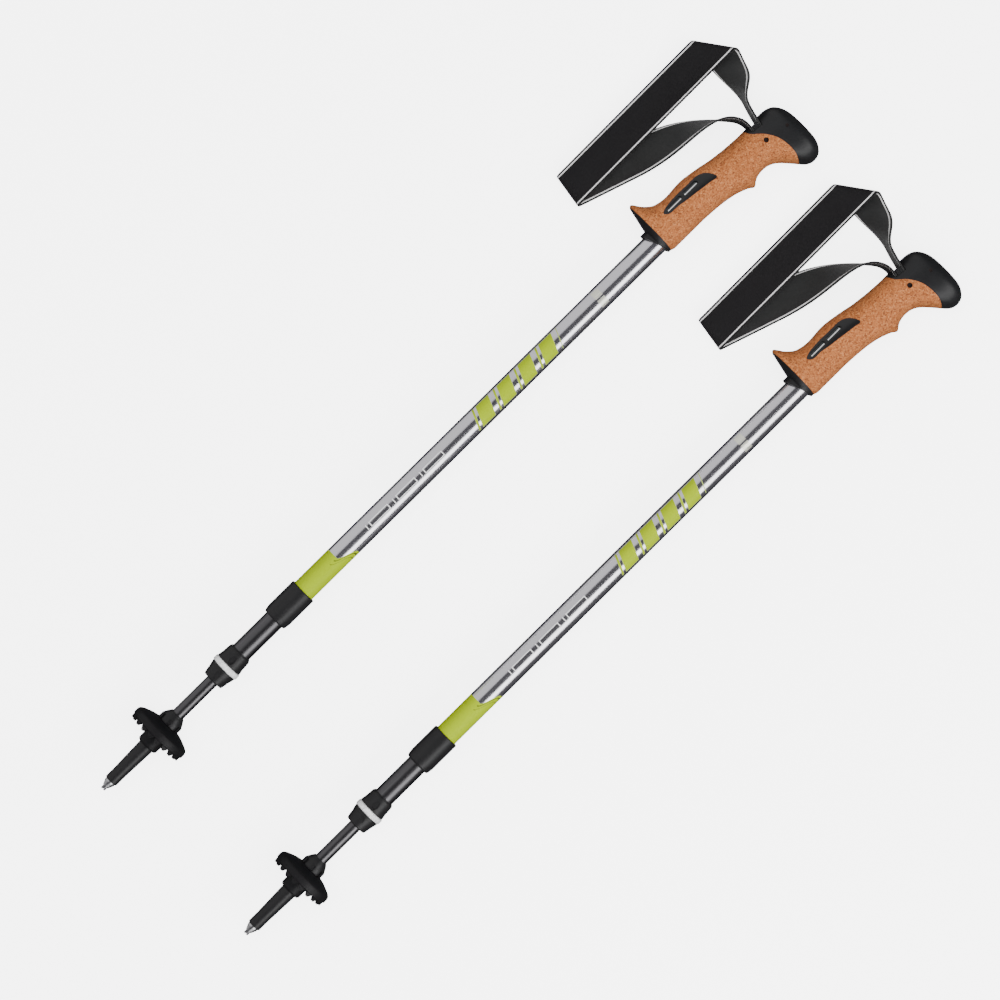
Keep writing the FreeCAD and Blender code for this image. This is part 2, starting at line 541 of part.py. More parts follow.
    # lower tube and the guide plug at its inner end
    made.append(turned("lower_tube" + mark, [
        ("lower_start", "lower_r - lower_wall"), ("lower_start", "lower_r"), ("lower_end", "lower_r"),
        ("lower_end", "lower_r - lower_wall")]))
    made.append(turned("guide_plug" + mark, [
        ("lower_end - guide_len", "0"), ("lower_end - guide_len", "lower_r - lower_wall"),
        ("lower_end", "lower_r - lower_wall"), ("lower_end", "middle_r - middle_wall - run_gap - 0.8"),
        ("lower_end + 0.8", "middle_r - middle_wall - run_gap"),
        ("lower_end + 6", "middle_r - middle_wall - run_gap"),
        ("lower_end + 7", "middle_r - middle_wall - run_gap - 1"), ("lower_end + 7", "0")]))

    # lock collar: turns on the collet and closes it on the lower tube
    collar = turned("lock_collar" + mark, [
        ("collar_start", "lower_r + 0.35"), ("collar_start", "collar_low_r - 0.5"),
        ("collar_start + 0.7", "collar_low_r"), ("collar_joint", "collar_r - 0.25"),
        ("collar_joint", "collet_r + run_gap"), ("collar_start + 3.2", "collet_r + run_gap"),
        ("collar_start + 1.4", "lower_r + 0.9")])
    made.append(collar)

    # collet: a shoulder under the elastomer ring, split fingers round the lower tube and a
    # snap head inside the middle tube
    bore = "middle_r - middle_wall"
    collet = turned("collet" + mark, [
        ("collar_start + 3.6", "lower_r + run_gap"), ("collar_start + 3.6", "collet_r - 0.8"),
        ("collar_start + 4.4", "collet_r"), ("collar_joint + 0.1", "collet_r"),
        ("collar_joint + 0.1", "collar_r - 0.2"), ("ring_start", "collar_r"), ("ring_start", "snap_r"),
        ("ring_end + lip_wall", "snap_r"), ("ring_end + lip_wall", bore + " - run_gap"),
        ("ring_end + lip_wall + snap_len", bore + " - run_gap"),
        ("ring_end + lip_wall + snap_len", "lower_r + run_gap")])
    for tag, role in (("a", "XY_Plane"), ("b", "XZ_Plane")):
        cut_through(collet, "collet_slot_" + tag + mark, [
            ("collar_start + 2", "-slot_width / 2"), ("collar_start + 2", "slot_width / 2"),
            ("collar_joint - 1.5", "slot_width / 2"), ("collar_joint - 1.5", "-slot_width / 2")], role)
    made.append(collet)

    # elastomer ring between the two collars
    made.append(turned("damper_ring" + mark, [
        ("ring_start", bore + " + 0.2"), ("ring_start", "ring_r - 0.6"), ("ring_start + 0.6", "ring_r"),
        ("ring_end - 0.6", "ring_r"), ("ring_end", "ring_r - 0.6"), ("ring_end", bore + " + 0.2")]))

    # damper collar, glued on the end of the middle tube
    made.append(turned("damper_collar" + mark, [
        ("ring_end", "snap_r + run_gap"), ("ring_end", "collar_r - 0.4"), ("ring_end + 0.5", "collar_r"),
        ("collar_end - 1.6", "collar_top_r"), ("collar_end", "middle_r + 0.5"), ("collar_end", "middle_r"),
        ("ring_end + lip_wall", "middle_r"), ("ring_end + lip_wall", "snap_r + run_gap")]))

    # finger panels sunk in both collars
    for owner, tag, low, depth in ((collar, "lock_panel", "collar_joint - 1.3 - panel_len", "collar_r"),
                                   (made[-1], "damper_panel", "ring_end + 1.8", "collar_r")):
        sk = outline(owner, tag + mark, [
            (low, "-1.2"), (low, "1.2"), (low + " + panel_len * 0.4", "2.5"), (low + " + panel_len", "1.5"),
            (low + " + panel_len", "-1.5"), (low + " + panel_len * 0.4", "-2.5")],
            lift=depth + " - panel_depth - 0.75")
        pocket = owner.newObject("PartDesign::Pocket", tag + "_cut" + mark)
        pocket.Profile = sk
        pocket.Type = "Length"
        pocket.Reversed = True
        pocket.Length = 8
        doc.recompute()
        around(owner, pocket, tag + "s" + mark, "panel_count")

    # middle tube, its inner plug and the threaded spindle of the twist lock
    made.append(turned("middle_tube" + mark, [
        ("ring_end + lip_wall", bore), ("ring_end + lip_wall", "middle_r"), ("middle_end", "middle_r"),
        ("middle_end", bore)]))
    made.append(turned("spindle_plug" + mark, [
        ("middle_end - plug_depth", "spindle_r"), ("middle_end - plug_depth", bore), ("middle_end", bore),
        ("middle_end", "middle_r"), ("middle_end + plug_rim", "middle_r"),
        ("middle_end + plug_rim", "spindle_r")]))
    made.append(turned("lock_spindle" + mark, [
        ("middle_end - plug_depth - 2", "0"), ("middle_end - plug_depth - 2", "spindle_head_r"),
        ("middle_end - plug_depth", "spindle_head_r"), ("middle_end - plug_depth", "spindle_r"),
        ("middle_end + spindle_len", "spindle_r"), ("middle_end + spindle_len", "spindle_head_r"),
        ("middle_end + spindle_len + 2", "spindle_head_r"), ("middle_end + spindle_len + 2", "0")]))

    # expander and cone: turning the middle tube draws the cone in and spreads the expander
    seat = "middle_end + plug_rim + expander_gap"
    tube_bore = "middle_r + run_gap"
    expander = turned("expander" + mark, [
        (seat, "expander_mouth_r"), (seat, tube_bore + " - run_gap - 0.5"),
        (seat + " + 0.8", tube_bore + " - run_gap"),
        (seat + " + expander_len - 0.8", tube_bore + " - run_gap"),
        (seat + " + expander_len", tube_bore + " - run_gap - 0.8"),
        (seat + " + expander_len", "spindle_r + run_gap"),
        (seat + " + expander_len - expander_floor", "spindle_r + run_gap"),
        (seat + " + expander_len - expander_floor", "expander_throat_r")])
    for tag, role in (("a", "XY_Plane"), ("b", "XZ_Plane")):
        cut_through(expander, "expander_slot_" + tag + mark, [
            (seat + " - 1", "-slot_width / 2"), (seat + " - 1", "slot_width / 2"),
            (seat + " + expander_len - expander_floor", "slot_width / 2"),
            (seat + " + expander_len - expander_floor", "-slot_width / 2")], role)
    made.append(expander)
    slope = "(expander_mouth_r - expander_throat_r) / (expander_len - expander_floor)"
    cone_at = seat + " + 2.5"
    made.append(turned("expander_cone" + mark, [
        (cone_at, "spindle_r + run_gap"), (cone_at, "expander_mouth_r - 2.5 * " + slope + " - 2 * run_gap"),
        (cone_at + " + cone_len", "expander_mouth_r - (2.5 + cone_len) * " + slope + " - 2 * run_gap"),
        (cone_at + " + cone_len", "spindle_r + run_gap")]))

    # upper sleeve and upper tube
    made.append(turned("upper_sleeve" + mark, [
        ("sleeve_start", tube_bore), ("sleeve_start", "sleeve_low_r"),
        ("sleeve_start + 1.2", "sleeve_low_r + 0.7"), ("sleeve_start + 5.2", "sleeve_r"),
        ("sleeve_end - 0.6", "sleeve_r"), ("sleeve_end", "sleeve_r - 0.6"), ("sleeve_end", "upper_r"),
        ("sleeve_start + sleeve_lip", "upper_r"), ("sleeve_start + sleeve_lip", tube_bore)]))
    made.append(turned("upper_tube" + mark, [
        ("sleeve_start + sleeve_lip", tube_bore), ("sleeve_start + sleeve_lip", "upper_r"),
        ("upper_end", "upper_r"), ("upper_end", tube_bore)]))

    # grip, its pins, the strap's wedge and the strap
    for name, shape in grip.items():
        made.append(solid_piece(name + mark, shape))
    clear = half_room
    y_in, y_out = size("wedge_in"), size("wedge_out")
    wedge = doc.addObject("PartDesign::Body", "strap_wedge" + mark)
    wedge.Label = "strap_wedge" + mark
    sk = outline(wedge, "wedge_side" + mark, [
        (repr(run_x(low_in, low_out, y_in, clear)), "wedge_in"),
        (repr(run_x(top_in, top_out, y_in, -clear)), "wedge_in"),
        (repr(run_x(top_in, top_out, y_out, -clear)), "wedge_out"),
        (repr(run_x(low_in, low_out, y_out, clear)), "wedge_out")])
    pad = wedge.newObject("PartDesign::Pad", "wedge_block" + mark)
    pad.Profile = sk
    pad.SideType = "Symmetric"
    pad.setExpression("Length", bind("strap_width - 0.2"))
    made.append(wedge)
    made.append(solid_piece("wrist_strap" + mark, strap))

doc.recompute()

# ---------------------------------------------------------------------------------------------
# Lay both poles on the ground side by side and set the origin under the middle of the pair.
turn = FreeCAD.Rotation(Vec(0, 1, 0), math.degrees(tilt))
low = [1e9, 1e9, 1e9]
high = [-1e9, -1e9, -1e9]
for name in ("carbide_tip", "basket", "grip_head", "wrist_strap"):
    shape = doc.getObject(name + "_1").Shape.copy()
    shape.Placement = FreeCAD.Placement(Vec(0, 0, 0), turn).multiply(shape.Placement)
    box = shape.optimalBoundingBox(False)
    low = [min(low[0], box.XMin), min(low[1], box.YMin), min(low[2], box.ZMin)]
    high = [max(high[0], box.XMax), max(high[1], box.YMax), max(high[2], box.ZMax)]
spacing = size("pole_spacing")
shift = Vec(-(low[0] + high[0]) / 2, -(low[1] - spacing + high[1]) / 2, -low[2])
for pole, pieces in poles.items():
    seat_at = FreeCAD.Placement(shift - Vec(0, spacing * (pole - 1), 0), turn)
    for piece in pieces:
        piece.Placement = seat_at
doc.recompute()
print("tilt", math.degrees(tilt), "shift", tuple(shift), "size",
      [round(b - a, 2) for a, b in zip(low, high)])

for thing in doc.Objects:
    if "Invalid" in thing.State or "Error" in thing.State:
        raise SystemExit("%s is in state %s" % (thing.Label, thing.State))
for pieces in poles.values():
    for piece in pieces:
        if piece.Shape.isNull() or not piece.Shape.isValid() or len(piece.Shape.Solids) != 1:
            raise SystemExit("%s has no single valid solid" % piece.Label)
for pieces in poles.values():
    for piece in pieces:
        piece.Shape.exportStep("parts/%s.step" % piece.Label)
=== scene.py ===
import json
import math

import bmesh
import bpy
from mathutils import Matrix, Vector


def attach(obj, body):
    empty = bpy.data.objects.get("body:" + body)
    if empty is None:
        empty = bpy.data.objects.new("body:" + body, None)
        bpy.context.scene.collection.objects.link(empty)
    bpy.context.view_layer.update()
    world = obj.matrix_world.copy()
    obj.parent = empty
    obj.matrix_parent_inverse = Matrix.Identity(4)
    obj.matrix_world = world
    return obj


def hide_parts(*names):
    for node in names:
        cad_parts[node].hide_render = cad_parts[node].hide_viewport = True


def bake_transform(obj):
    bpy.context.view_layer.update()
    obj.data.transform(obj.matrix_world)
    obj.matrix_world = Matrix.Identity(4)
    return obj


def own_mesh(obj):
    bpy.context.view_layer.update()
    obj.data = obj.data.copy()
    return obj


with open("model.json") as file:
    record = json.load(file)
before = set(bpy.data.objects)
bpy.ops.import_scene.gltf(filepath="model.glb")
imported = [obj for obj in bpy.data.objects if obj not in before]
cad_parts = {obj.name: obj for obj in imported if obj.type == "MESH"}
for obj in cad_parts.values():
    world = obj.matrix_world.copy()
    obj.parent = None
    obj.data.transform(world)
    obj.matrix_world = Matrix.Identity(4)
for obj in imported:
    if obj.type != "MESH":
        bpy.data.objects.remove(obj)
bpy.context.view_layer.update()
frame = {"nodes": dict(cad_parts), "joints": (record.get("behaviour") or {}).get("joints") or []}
nodes = frame["nodes"]


# ---- Camera: it looks straight down on the pair from about two and a half metres through a
# long lens, turned so that the poles run from the lower left to the upper right.
camera = bpy.data.objects.new("camera", bpy.data.cameras.new("camera"))
bpy.context.scene.collection.objects.link(camera)
camera.data.lens = 120
camera.data.sensor_width = 36
view_width = 0.735
view_centre = (-0.0021, -0.0042)
camera_height = view_width * camera.data.lens / camera.data.sensor_width + 0.02
turn = Matrix(((0.71155, 0.70264, 0), (-0.70264, 0.71155, 0), (0, 0, 1))).to_4x4()
camera.matrix_world = Matrix.Translation((*view_centre, camera_height)) @ turn
bpy.context.scene.camera = camera


# ---- Floor and light: a plain pale sheet under the poles, a wide soft light on the strap side
# and a narrower, brighter one on the other side, which draw the long streaks on the tubes, and
# a plain top light that doesn't mirror in them. The room is dark, the backdrop is pale.
def put_light(name, spot, width, length, power, mirrored=True):
    lamp = bpy.data.objects.new(name, bpy.data.lights.new(name, "AREA"))
    bpy.context.scene.collection.objects.link(lamp)
    lamp.data.shape = "RECTANGLE"
    lamp.data.size, lamp.data.size_y = length, width
    lamp.data.energy = power
    toward = -Vector(spot).normalized()
    along = Vector((1, 0, 0))
    across = toward.cross(along)
    facing = Matrix((along, -across, -toward)).transposed().to_4x4()
    lamp.matrix_world = Matrix.Translation(spot) @ facing
    lamp.visible_glossy = mirrored
    return lamp


put_light("strap_side_light", (0, 1.26, 0.61), 2.9, 4.0, 27)
put_light("far_side_light", (0, -1.06, 0.92), 0.85, 4.0, 42)
put_light("top_light", (0, 0, 2.9), 2.6, 2.6, 95, mirrored=False)
world = bpy.data.worlds.new("studio")
world.use_nodes = True
world_nodes, world_links = world.node_tree.nodes, world.node_tree.links
room = world_nodes["Background"]
room.inputs["Color"].default_value = (0.075, 0.075, 0.082, 1)
backdrop = world_nodes.new("ShaderNodeBackground")
backdrop.inputs["Color"].default_value = (1, 1, 1, 1)
backdrop.inputs["Strength"].default_value = 5.5
seen = world_nodes.new("ShaderNodeLightPath")
choice = world_nodes.new("ShaderNodeMixShader")
world_links.new(seen.outputs["Is Camera Ray"], choice.inputs[0])
world_links.new(room.outputs[0], choice.inputs[1])
world_links.new(backdrop.outputs[0], choice.inputs[2])
world_links.new(choice.outputs[0], world_nodes["World Output"].inputs["Surface"])
bpy.context.scene.world = world

bpy.ops.mesh.primitive_plane_add(size=9, location=(0, 0, 0))
floor = bpy.context.object
floor.name = "floor"
floor_finish = bpy.data.materials.new("pale_floor")
floor_finish.use_nodes = True
floor_shader = floor_finish.node_tree.nodes["Principled BSDF"]
for socket, value in (("Base Color", (0.93, 0.93, 0.93, 1)), ("Roughness", 0.9), ("Specular IOR Level", 0.1),
                      ("Emission Color", (1, 1, 1, 1)), ("Emission Strength", 4.4)):
    floor_shader.inputs[socket].default_value = value
floor.data.materials.append(floor_finish)
floor.visible_glossy = False
floor.visible_diffuse = False


# ---- Carbide point and its holder: a sintered carbide cup ground to a crossed end, pressed
# into a flared and fluted steel holder.
class Wire:
    """A socket of a finish's nodes; arithmetic on it adds Math nodes."""

    def __init__(self, finish, socket):
        self.finish, self.socket = finish, socket

    def calc(self, operation, *others):
        return self.finish.node("ShaderNodeMath", {"operation": operation},
                                dict(enumerate((self,) + others)))

    def __add__(self, other): return self.calc("ADD", other)
    def __sub__(self, other): return self.calc("SUBTRACT", other)
    def __mul__(self, other): return self.calc("MULTIPLY", other)
    def __truediv__(self, other): return self.calc("DIVIDE", other)
    def __radd__(self, other): return self + other
    def __rmul__(self, other): return self * other
    def __rsub__(self, other): return self * -1.0 + other
    def __neg__(self): return self * -1.0
    def __abs__(self): return self.calc("ABSOLUTE")
    def __mod__(self, other): return self.calc("FLOORED_MODULO", other)

    def below(self, limit, soft):
        """1 where this is under the limit, 0 over it, with a soft edge."""
        return self.finish.node("ShaderNodeClamp", {}, {"Value": (limit - self) / soft + 0.5})


class Finish:
    """A material: one Principled shader and the nodes that feed it."""

    def __init__(self, name):
        self.material = bpy.data.materials.new(name)
        self.material.use_nodes = True
        self.tree = self.material.node_tree
        self.shader = self.tree.nodes["Principled BSDF"]
        self.place = self.node("ShaderNodeTexCoord", {}, {}, "Object")

    def node(self, kind, settings, values, out=0):
        made = self.tree.nodes.new(kind)
        for key, value in settings.items():
            if key == "stops":
                ramp = made.color_ramp
                while len(ramp.elements) < len(value):
                    ramp.elements.new(0.5)
                for element, (at, colour) in zip(ramp.elements, value):
                    element.position, element.color = at, (*colour, 1)
            else:
                setattr(made, key, value)
        for key, value in values.items():
            target = made.inputs[key]
            if isinstance(value, Wire):
                self.tree.links.new(value.socket, target)
            elif hasattr(value, "__len__") and len(value) == 3 and target.type == "RGBA":
                target.default_value = (*value, 1)
            else:
                target.default_value = value
        return Wire(self, made.outputs[out])

    def mix(self, share, first, second):
        made = self.tree.nodes.new("ShaderNodeMix")
        made.data_type = "RGBA"
        for key, value in ((0, share), (6, first), (7, second)):
            if isinstance(value, Wire):
                self.tree.links.new(value.socket, made.inputs[key])
            else:
                made.inputs[key].default_value = value if key == 0 else (*value, 1)
        return Wire(self, made.outputs[2])

    def noise(self, scale, detail=3.0, rough=0.55, where=None, stretch=None):
        where = where or self.place
        if stretch:
            where = self.node("ShaderNodeMapping", {}, {"Vector": where, "Scale": stretch})
        return self.node("ShaderNodeTexNoise", {}, {"Vector": where, "Scale": scale, "Detail": detail,
                                                    "Roughness": rough}, "Fac")

    def bump(self, height, strength, distance):
        return self.node("ShaderNodeBump", {}, {"Height": height, "Strength": strength, "Distance": distance})

    def set(self, **values):
        for key, value in values.items():
            target = self.shader.inputs[key.replace("_", " ")]
            if isinstance(value, Wire):
                self.tree.links.new(value.socket, target)
            elif target.type == "RGBA":
                target.default_value = (*value, 1)
            else:
                target.default_value = value
        return self

    def coat(self, *names):
        for name in names:
            for number in (1, 2):
                nodes["%s_%d" % (name, number)].material_slots[0].material = self.material


def clamped(wire):
    return wire.finish.node("ShaderNodeClamp", {}, {"Value": wire})


carbide = Finish("ground_carbide")
grain = carbide.noise(2600, 4)
carbide.set(Base_Color=carbide.mix(grain, (0.10, 0.10, 0.105), (0.22, 0.22, 0.23)), Metallic=0.85,
            Roughness=0.32 + grain * 0.25, Normal=carbide.bump(grain, 0.25, 0.0002))
carbide.coat("carbide_tip")

steel = Finish("turned_steel")
rings = steel.noise(1.0, 2, stretch=(5200, 60, 60))
steel.set(Base_Color=steel.mix(rings, (0.46, 0.46, 0.47), (0.62, 0.62, 0.63)), Metallic=1.0,
          Roughness=0.22 + rings * 0.18, Normal=steel.bump(rings, 0.15, 0.0001))
steel.coat("tip_holder", "lock_spindle")


# ---- Moulded black plastic: flex tip, lock and damper collars, sleeve, plugs and the grip core
# are injection moulded in glass filled nylon with a fine spark eroded surface.
def moulded(name, dark, light, rough, pits):
    finish = Finish(name)
    fine = finish.noise(2400, 2)
    cloud = finish.noise(38, 3)
    scuff = clamped((finish.noise(1.0, 3, stretch=(90, 420, 420)) - 0.60) * 6.0)
    finish.set(Base_Color=finish.mix(cloud * 0.7 + scuff * 0.3, dark, light),
               Roughness=rough + fine * 0.12 + scuff * 0.08,
               Normal=finish.bump(fine + cloud * 0.2, pits, 0.00025))
    finish.shader.inputs["Specular IOR Level"].default_value = 0.32
    return finish


black = moulded("black_nylon", (0.008, 0.008, 0.0085), (0.015, 0.0145, 0.0155), 0.32, 0.22)
black.coat("flex_tip", "lock_collar", "damper_collar", "collet", "guide_plug", "spindle_plug", "expander",
           "expander_cone", "upper_sleeve", "grip_core", "strap_wedge")
# painted shade: the pins are coloured near black so that the head pin reads as the dark, shaded hole it sits
# in
pin_black = moulded("pin_black", (0.006, 0.003, 0.003), (0.012, 0.006, 0.005), 0.5, 0.1)
pin_black.coat("strap_pin", "head_pin")


# ---- Basket: one moulding of softer polyamide, satin black, with faint radial flow lines from
# the gate in its hub.
twist_at = 590  # millimetres from the tip to the joint that the middle tube turns on


class PoleAxes:
    """Where a point is along, beside and above a pole's own axis, in millimetres."""

    def __init__(self, finish, number):
        joint = [j for j in frame["joints"] if j["name"] == "middle_twist_%d" % number][0]
        c, s = joint["axis"][0], -joint["axis"][2]
        x0 = joint["pos_m"][0] - twist_at / 1000 * c
        z0 = joint["pos_m"][2] + twist_at / 1000 * s
        split = finish.tree.nodes.new("ShaderNodeSeparateXYZ")
        finish.tree.links.new(finish.place.socket, split.inputs[0])
        x = (Wire(finish, split.outputs[0]) - x0) * 1000.0
        z = (Wire(finish, split.outputs[2]) - z0) * 1000.0
        self.along = x * c - z * s
        self.beside = (Wire(finish, split.outputs[1]) - joint["pos_m"][1]) * 1000.0
        self.above = x * s + z * c


for number in (1, 2):
    basket = Finish("basket_nylon_%d" % number)
    axes = PoleAxes(basket, number)
    around = axes.beside.calc("ARCTAN2", axes.above)
    flow = (around * 60.0).calc("SINE") * 0.5 + 0.5
    fine = basket.noise(1500, 2)
    cloud = basket.noise(30, 3)
    basket.set(Base_Color=basket.mix(cloud, (0.004, 0.004, 0.0045), (0.009, 0.0085, 0.0095)),
               Roughness=0.42 + fine * 0.14, Normal=basket.bump(fine + flow * 0.15, 0.25, 0.0003))
    basket.shader.inputs["Specular IOR Level"].default_value = 0.22
    nodes["basket_%d" % number].material_slots[0].material = basket.material


# ---- Lower and middle tubes: drawn aluminium, anodised dark grey, with the faint length marks
# of the die and slight rub marks where they slide.
dark_tube = Finish("anodised_tube")
drawn = dark_tube.noise(1.0, 3, stretch=(6, 2600, 2600))
rub = clamped((dark_tube.noise(1.0, 4, stretch=(14, 500, 500)) - 0.58) * 5.0)
dark_tube.set(Base_Color=dark_tube.mix(rub * 0.5 + drawn * 0.3, (0.105, 0.102, 0.107), (0.20, 0.197, 0.203)),
              Metallic=1.0, Roughness=0.30 + drawn * 0.10, Normal=dark_tube.bump(drawn, 0.03, 0.0001))
dark_tube.shader.inputs["Specular Tint"].default_value = (0.10, 0.10, 0.11, 1)
dark_tube.coat("lower_tube", "middle_tube")


# ---- Damper ring: cast white elastomer squeezed between the two collars.
white = Finish("white_elastomer")
chalk = white.noise(500, 4)
white.set(Base_Color=white.mix(chalk, (0.80, 0.80, 0.80), (0.90, 0.90, 0.90)), Roughness=0.5 + chalk * 0.15,
          Normal=white.bump(chalk, 0.1, 0.0002))
white.coat("damper_ring")
for number in (1, 2):
    solid_ring = nodes["damper_ring_%d" % number]
    ring = solid_ring.copy()
    ring.data = solid_ring.data.copy()
    ring.name = "elastomer_ring_%d" % number
    ring.parent = None
    for key in list(ring.keys()):
        del ring[key]
    bpy.context.scene.collection.objects.link(ring)
    bpy.ops.object.select_all(action="DESELECT")
    ring.select_set(True)
    bpy.context.view_layer.objects.active = ring
    bpy.ops.object.mode_set(mode="EDIT")
    bpy.ops.mesh.select_all(action="SELECT")
    bpy.ops.mesh.remove_doubles(threshold=1e-6)
    bpy.ops.object.mode_set(mode="OBJECT")
    bpy.ops.object.shade_smooth_by_angle(angle=math.radians(30))
    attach(ring, "middle_%d" % number)
    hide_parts("damper_ring_%d" % number)
    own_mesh(ring)


# ---- Upper tube: polished aluminium with printed bands. A lime cuff stands on the sleeve and
# swells up on one side, a rule with fine ticks follows, then a block of slanted lime bars.
cuff_end, cuff_swell = 241.4, 14.6  # millimetres from the tip, as all places along the pole
bars_from, bar_pitch, bars_middle, bars_half = 384.0, 21.5, 427.5, 43.4
rule_from, rule_pitch, rule_middle, rule_half = 272.0, 27.7, 313.5, 41.5
mark_at = 512.5
for number in (1, 2):
    tube = Finish("printed_tube_%d" % number)
    axes = PoleAxes(tube, number)
    along, beside = axes.along, -axes.beside
    top_side = axes.above.calc("GREATER_THAN", 0.0)
    drawn = tube.noise(1.0, 3, stretch=(5, 3000, 3000))
    haze = tube.noise(22, 4)
    swell = tube.node("ShaderNodeMapRange", {"interpolation_type": "SMOOTHSTEP"},
                      {"Value": beside, "From Min": 0.5, "From Max": 7.5, "To Min": 0.0,
                       "To Max": cuff_swell})
    edge = swell + cuff_end
    cuff = along.below(edge, 0.25)
    from_edge = along - edge
    outline_line = clamped((abs(from_edge + 2.6).below(0.55, 0.25) + abs(from_edge + 6.6).below(0.3, 0.2))
                           * (1.0 - beside.below(0.2, 0.6)))
    # slanted bars, alternately wide and narrow, between two limits along the pole
    lean = along + beside * 0.42
    step = (lean - bars_from) % bar_pitch
    bar = abs(step - 10.75).below(6.4, 0.35) + abs(step - 1.2).below(0.9, 0.3)
    inside = abs(lean - bars_middle).below(bars_half, 0.3) * abs(beside).below(7.3, 0.3) * top_side
    bars = clamped(bar * inside)
    # a fine rule: two rails, cross ticks and small end bars
    rule = abs(beside).below(2.15, 0.15) * abs(along - rule_middle).below(rule_half, 0.2) * top_side
    tick = (along - rule_from) % rule_pitch
    rails = clamped(abs(abs(beside) - 1.9).below(0.28, 0.12) * abs(tick - 13.8).below(9.4, 0.2)
                    + abs(tick - 4.4).below(0.35, 0.12) + abs(tick - 23.2).below(0.35, 0.12)
                    + abs(tick - 0.9).below(0.35, 0.12))
    ruled = clamped(rule * rails)
    ghost = abs(along - mark_at).below(3.4, 0.4) * abs(abs(beside) - 3.6).below(3.0, 0.4) * top_side * 0.35
    lime = clamped(cuff + bars)
    print_noise = tube.noise(900, 2)
    lime_colour = tube.mix(print_noise * 0.4, (0.34, 0.46, 0.0), (0.30, 0.41, 0.0))
    metal = tube.mix(haze * 0.25, (0.84, 0.82, 0.86), (0.74, 0.73, 0.76))
    colour = tube.mix(lime, metal, lime_colour)
    colour = tube.mix(ruled, colour, (0.86, 0.86, 0.86))
    colour = tube.mix(ghost, colour, (0.70, 0.72, 0.35))
    colour = tube.mix(outline_line * 0.85, colour, (0.02, 0.02, 0.02))
    printed = clamped(lime + ruled + outline_line + ghost)
    tube.set(Base_Color=colour, Metallic=1.0 - printed, Roughness=0.19 + drawn * 0.06 + printed * 0.12,
             Normal=tube.bump(printed, 0.08, 0.00005))
    tube.shader.inputs["Specular Tint"].default_value = (0.10, 0.10, 0.11, 1)
    nodes["upper_tube_%d" % number].material_slots[0].material = tube.material


# ---- Cork grip: granules of cork pressed with a binder and sanded to shape, so every granule
# has its own brown, a few are nearly black and small pits stay open between them.
cork = Finish("pressed_cork")
wander = cork.node("ShaderNodeTexNoise", {}, {"Vector": cork.place, "Scale": 420.0, "Detail": 2.0}, "Color")
spread = cork.node("ShaderNodeVectorMath", {"operation": "SCALE"}, {0: wander, "Scale": 0.0011})
moved = cork.node("ShaderNodeVectorMath", {"operation": "ADD"}, {0: cork.place, 1: spread})
granules = {"Vector": moved, "Scale": 1150.0}
cell = cork.node("ShaderNodeTexVoronoi", {}, granules, "Color")
cell_value = cork.node("ShaderNodeSeparateColor", {}, {0: cell}, 0)
cell_other = cork.node("ShaderNodeSeparateColor", {}, {0: cell}, 1)
seams = cork.node("ShaderNodeTexVoronoi", {"feature": "DISTANCE_TO_EDGE"}, granules, 0)
small = cork.noise(2600, 3)
soft = cork.noise(60, 3)
browns = [(0.0, (0.13, 0.034, 0.008)), (0.10, (0.27, 0.078, 0.019)), (0.5, (0.420, 0.138, 0.040)),
          (0.82, (0.490, 0.174, 0.054)), (1.0, (0.58, 0.235, 0.084))]
brown = cork.node("ShaderNodeValToRGB", {"stops": browns}, {0: cell_value})
brown = cork.mix(soft * 0.35, brown, (0.41, 0.130, 0.036))
brown = cork.mix(clamped((0.10 - seams) * 6.0) * 0.45, brown, (0.28, 0.10, 0.04))
pit = clamped((cell_other - 0.955) * 60.0) * small
brown = cork.mix(pit, brown, (0.05, 0.02, 0.01))
cork.set(Base_Color=brown, Roughness=0.62 + small * 0.2,
         Normal=cork.bump(clamped(seams * 5.0) * 0.5 + small * 0.35 - pit, 0.45, 0.0004))
cork.shader.inputs["Specular IOR Level"].default_value = 0.3
cork.coat("cork_grip")


# ---- Grip head and side inlays: the head is a satin rubberised moulding that the palm rests
# on; the inlays are harder and glossier, and their windows are polished. A pale grey line along
# one long side of each window is a painted highlight.
head = moulded("head_rubber", (0.008, 0.008, 0.0085), (0.017, 0.017, 0.0185), 0.30, 0.3)
head.coat("grip_head")
grip_start, low_window, high_window = 574.8, 24.0, 40.4
for number in (1, 2):
    inlay = Finish("inlay_gloss_%d" % number)
    axes = PoleAxes(inlay, number)
    run = axes.along - grip_start
    fine = inlay.noise(2400, 2)
    pane = clamped(abs(run - low_window).below(6.6, 0.2) + abs(run - high_window).below(6.2, 0.2)) \
        * abs(axes.beside - 10.65).below(1.75, 0.2)
    # painted highlight: a pale grey line along one long side of each window stands in for a reflection
    painted_highlight = pane * abs(axes.beside - 9.9).below(0.38, 0.2)
    shade = inlay.mix(pane, (0.006, 0.006, 0.0065), (0.022, 0.024, 0.026))
    inlay.set(Base_Color=inlay.mix(painted_highlight, shade, (0.62, 0.62, 0.62)),
              Roughness=0.26 - pane * 0.16 + fine * 0.06, Normal=inlay.bump(fine, 0.08, 0.0001))
    for side in ("left", "right"):
        nodes["inlay_%s_%d" % (side, number)].material_slots[0].material = inlay.material


# ---- Wrist strap: one closed band of woven nylon webbing, 27 mm wide, with a reflective thread
# line near each edge. It passes round the pin in the head, lies down flat beside the grip,
# folds over at the top and under at the bottom, and comes back to the head.
half_width, half_thick = 13.65, 0.85
wrap, fold = 3.2, 3.6  # radius round the pin, and of the two folds
warp_pitch, weft_pitch, thread_pitch = 0.62, 0.95, 1.6


